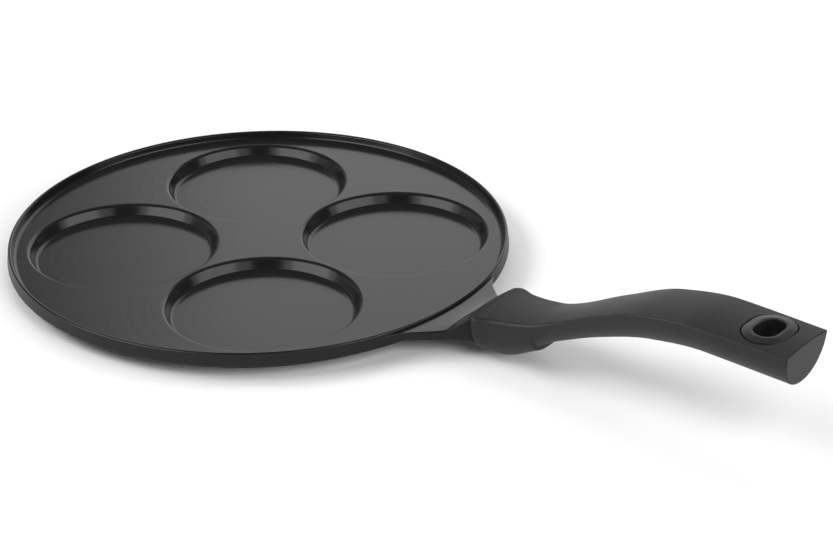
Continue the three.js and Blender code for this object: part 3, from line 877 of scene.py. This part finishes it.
def outside_share(tree, place):
    """One on the sides of the rim and the bracket, zero on every top and inside the rim."""
    flat = tree_node(tree, "ShaderNodeMapping", Vector=place, Scale=(1, 1, 0))
    radius = tree_node(tree, "ShaderNodeVectorMath", {"operation": "LENGTH"}, Vector=flat.outputs[0])
    top_edge = PAN_RADIUS - RIM_FLARE
    beyond = tree_node(
        tree, "ShaderNodeMapRange", Value=radius.outputs["Value"],
        From_Min=(top_edge - RIM_ROUND) * MM, From_Max=(top_edge - RIM_ROUND / 2) * MM)
    faces = tree_node(tree, "ShaderNodeSeparateXYZ", Vector=place.node.outputs["Normal"])
    side = tree_node(
        tree, "ShaderNodeMapRange", Value=faces.outputs["Z"],
        From_Min=0.2, From_Max=0.4, To_Min=1.0, To_Max=0.0)
    return maths(tree, "MULTIPLY", beyond.outputs[0], side.outputs[0])


def coating_finish():
    """Black non-stick coating: semi-gloss, a fine orange peel, and turned lines in the wells.

    The outside is duller than the inside.
    """
    finish, tree, shader, place = new_finish("non-stick coating", roughness=0.2)
    speckle = grain(tree, place, size=0.8, detail=3.0)
    cloud = grain(tree, place, size=14.0, detail=4.0)
    outside = outside_share(tree, place)
    inside_rough = between(tree, cloud, low=0.15, high=0.19)
    peel = relief(tree, grain(tree, place, size=0.9), depth=0.012)
    plug_all(tree, shader, {
        "Base_Color": two_tone(tree, speckle, (0.011, 0.011, 0.012), (0.015, 0.015, 0.0162)),
        "Roughness": maths(tree, "ADD", inside_rough, between(tree, outside, low=0.0, high=0.25)),
        "Specular_IOR_Level": between(tree, outside, low=0.5, high=0.2),
        "Normal": relief(tree, turned_lines(tree, place), depth=0.01, under=peel),
    })
    return finish


def handle_finish():
    """Matte dark moulding with a fine spark-eroded grain."""
    finish, tree, shader, place = new_finish("handle moulding", roughness=0.55)
    speckle = grain(tree, place, size=2.0, detail=4.0)
    cloud = grain(tree, place, size=9.0, detail=3.0)
    plug_all(tree, shader, {
        "Base_Color": two_tone(tree, speckle, (0.016, 0.0152, 0.0155), (0.021, 0.020, 0.0204)),
        "Roughness": between(tree, cloud, low=0.42, high=0.5),
        "Specular_IOR_Level": 0.2,
        "Normal": relief(tree, grain(tree, place, size=0.35), depth=0.02),
    })
    return finish


def eyelet_finish():
    """Glossy dark moulding with a faint flow mottle."""
    finish, tree, shader, place = new_finish("eyelet moulding", roughness=0.3)
    mottle = grain(tree, place, size=3.0, detail=3.0)
    cloud = grain(tree, place, size=4.0, detail=3.0)
    plug_all(tree, shader, {
        "Base_Color": two_tone(tree, mottle, (0.015, 0.0142, 0.0144), (0.020, 0.0192, 0.0194)),
        "Roughness": between(tree, cloud, low=0.26, high=0.34),
        "Specular_IOR_Level": 0.25,
        "Normal": relief(tree, grain(tree, place, size=1.2), depth=0.006),
    })
    return finish


def steel_finish(name, dark, light, smoothest, roughest):
    """Zinc-plated steel with a drawn grain and a mottled plating."""
    finish, tree, shader, place = new_finish(name, roughness=smoothest, metallic=1.0)
    plating = grain(tree, place, size=1.5, detail=4.0)
    drawn = grain(tree, place, size=0.6, detail=3.0)
    plug_all(tree, shader, {
        "Base_Color": two_tone(tree, plating, dark, light),
        "Roughness": between(tree, drawn, low=smoothest, high=roughest),
        "Normal": relief(tree, grain(tree, place, size=0.15), depth=0.004),
    })
    return finish


# Studio

CAMERA_PLACE = (748.2, -748.2, 538.6)
CAMERA_DIRECTION = (-0.5742, 0.6744, -0.4643)
CAMERA_ROLL = radians(-0.56)
IMAGE_WIDTH = 833
FOCAL_PIXELS = 2180.0
SENSOR_WIDTH = 36.0
FLOOR_REACH = 6000.0
AIR_STRENGTH = 0.08
BACKDROP_RIGHT = 92.0  # azimuths of the backdrop's ends; to the left it fades out in steps
BACKDROP_LEFT = (134.3, 136.3, 138.3, 140.3, 160.0)


def aim(thing, place, direction, roll=0.0):
    """Puts a camera or light at a place, so that it looks along a direction."""
    turn = Vector(direction).to_track_quat("-Z", "Y").to_matrix().to_4x4()
    thing.matrix_world = Matrix.Translation(metres([place])[0]) @ turn @ Matrix.Rotation(roll, 4, "Z")


def studio_camera():
    lens = bpy.data.cameras.new("camera")
    lens.sensor_width = SENSOR_WIDTH
    lens.lens = FOCAL_PIXELS / IMAGE_WIDTH * SENSOR_WIDTH
    camera = bpy.data.objects.new("camera", lens)
    bpy.context.scene.collection.objects.link(camera)
    aim(camera, CAMERA_PLACE, CAMERA_DIRECTION, CAMERA_ROLL)
    bpy.context.scene.camera = camera


def softbox(name, lights, azimuth, elevation, wide, tall, radiance, distance=2500, mirrored=True):
    """Soft panel that faces the pan and lights some things only.

    Its place and size are angles, from +X towards +Y and up from the table.
    """
    lamp = bpy.data.lights.new(name, "AREA")
    lamp.shape = "RECTANGLE"
    lamp.size = 2 * distance * tan(radians(wide / 2)) * MM
    lamp.size_y = 2 * distance * tan(radians(tall / 2)) * MM
    lamp.energy = radiance * pi * lamp.size * lamp.size_y
    panel = bpy.data.objects.new(name, lamp)
    panel.visible_glossy = mirrored
    bpy.context.scene.collection.objects.link(panel)
    lit = bpy.data.collections.new(name)
    for thing in lights:
        lit.objects.link(thing)
    panel.light_linking.receiver_collection = lit
    level = cos(radians(elevation))
    round_turn = radians(azimuth)
    towards = Vector((level * cos(round_turn), level * sin(round_turn), sin(radians(elevation))))
    aim(panel, towards * distance, -towards)


def studio_floor():
    """Wide pale table top, with a faint unevenness in its tone."""
    sides = ((-1, -1), (1, -1), (1, 1), (-1, 1))
    corners = [(x * FLOOR_REACH, y * FLOOR_REACH, 0) for x, y in sides]
    floor = mesh_object("floor", corners, [(0, 1, 2, 3)])
    finish, tree, shader, place = new_finish("pale table", roughness=0.7)
    cloud = grain(tree, place, size=400.0)
    plug_all(tree, shader, {
        "Base_Color": two_tone(tree, cloud, (0.86, 0.86, 0.86), (0.88, 0.88, 0.88)),
        "Specular_IOR_Level": 0.0,
    })
    floor.data.materials.append(finish)
    return floor


def studio_air():
    """Faint even light from all round."""
    world = bpy.data.worlds.new("studio air")
    world.use_nodes = True
    air = world.node_tree.nodes["Background"]
    air.inputs["Color"].default_value = (1, 1, 1, 1)
    air.inputs["Strength"].default_value = AIR_STRENGTH
    bpy.context.scene.world = world


def studio_light(floor, pieces):
    """Panels that the pan mirrors, lights for the pan and the handle, and lights for the table."""
    casting, handle, *small_pieces = pieces
    for left in BACKDROP_LEFT:
        softbox("backdrop", pieces, azimuth=(left + BACKDROP_RIGHT) / 2, elevation=20,
                wide=left - BACKDROP_RIGHT, tall=38, radiance=0.2)
    softbox("low strip", pieces, azimuth=-160, elevation=7,
            wide=50, tall=14, radiance=0.4, distance=1500)
    softbox("left panel", pieces, azimuth=-105, elevation=22,
            wide=46, tall=36, radiance=1.5, distance=800)
    softbox("left panel's edge", pieces, azimuth=-105, elevation=22,
            wide=66, tall=40, radiance=1.1, distance=840)
    softbox("right panel", pieces, azimuth=8, elevation=24,
            wide=46, tall=30, radiance=1.3, distance=800)
    softbox("right panel's edge", pieces, azimuth=4, elevation=24,
            wide=72, tall=34, radiance=0.9, distance=840)
    softbox("top light", [casting, *small_pieces], azimuth=133, elevation=60,
            wide=30, tall=30, radiance=12, mirrored=False)
    softbox("handle light", [handle], azimuth=62, elevation=42,
            wide=36, tall=36, radiance=2.9, distance=700, mirrored=False)
    softbox("edge light", [handle], azimuth=-145, elevation=40, wide=30, tall=22, radiance=11)
    softbox("table, left front", [floor], azimuth=-138, elevation=42, wide=44, tall=28, radiance=6.27)
    softbox("table, right front", [floor], azimuth=-22, elevation=38, wide=26, tall=28, radiance=6.27)
    softbox("table, right", [floor], azimuth=22, elevation=19, wide=70, tall=22, radiance=4.66)
    softbox("table, back", [floor], azimuth=140, elevation=52, wide=50, tall=40, radiance=1.9)



bpy.context.scene.view_settings.view_transform = "Standard"
studio_camera()
studio_air()
pieces = [
    (coated_casting(coating_finish()), "pan_body", "coated_casting"),
    (moulded_handle(handle_finish()), "handle_grip", "handle_moulding"),
    (eyelet_ring(eyelet_finish()), "hang_eyelet", "eyelet_moulding"),
    (dome_head_screw(steel_finish("screw steel", (0.5, 0.5, 0.49), (0.6, 0.6, 0.59), 0.28, 0.42)),
     "handle_screw", "screw_steel"),
    (split_washer(steel_finish("washer steel", (0.42, 0.42, 0.41), (0.5, 0.5, 0.49), 0.38, 0.5)),
     "lock_washer", "washer_steel"),
]
studio_light(studio_floor(), [made for made, node, slot in pieces])
for made, node, slot in pieces:
    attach(made, "root")
    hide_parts(node)
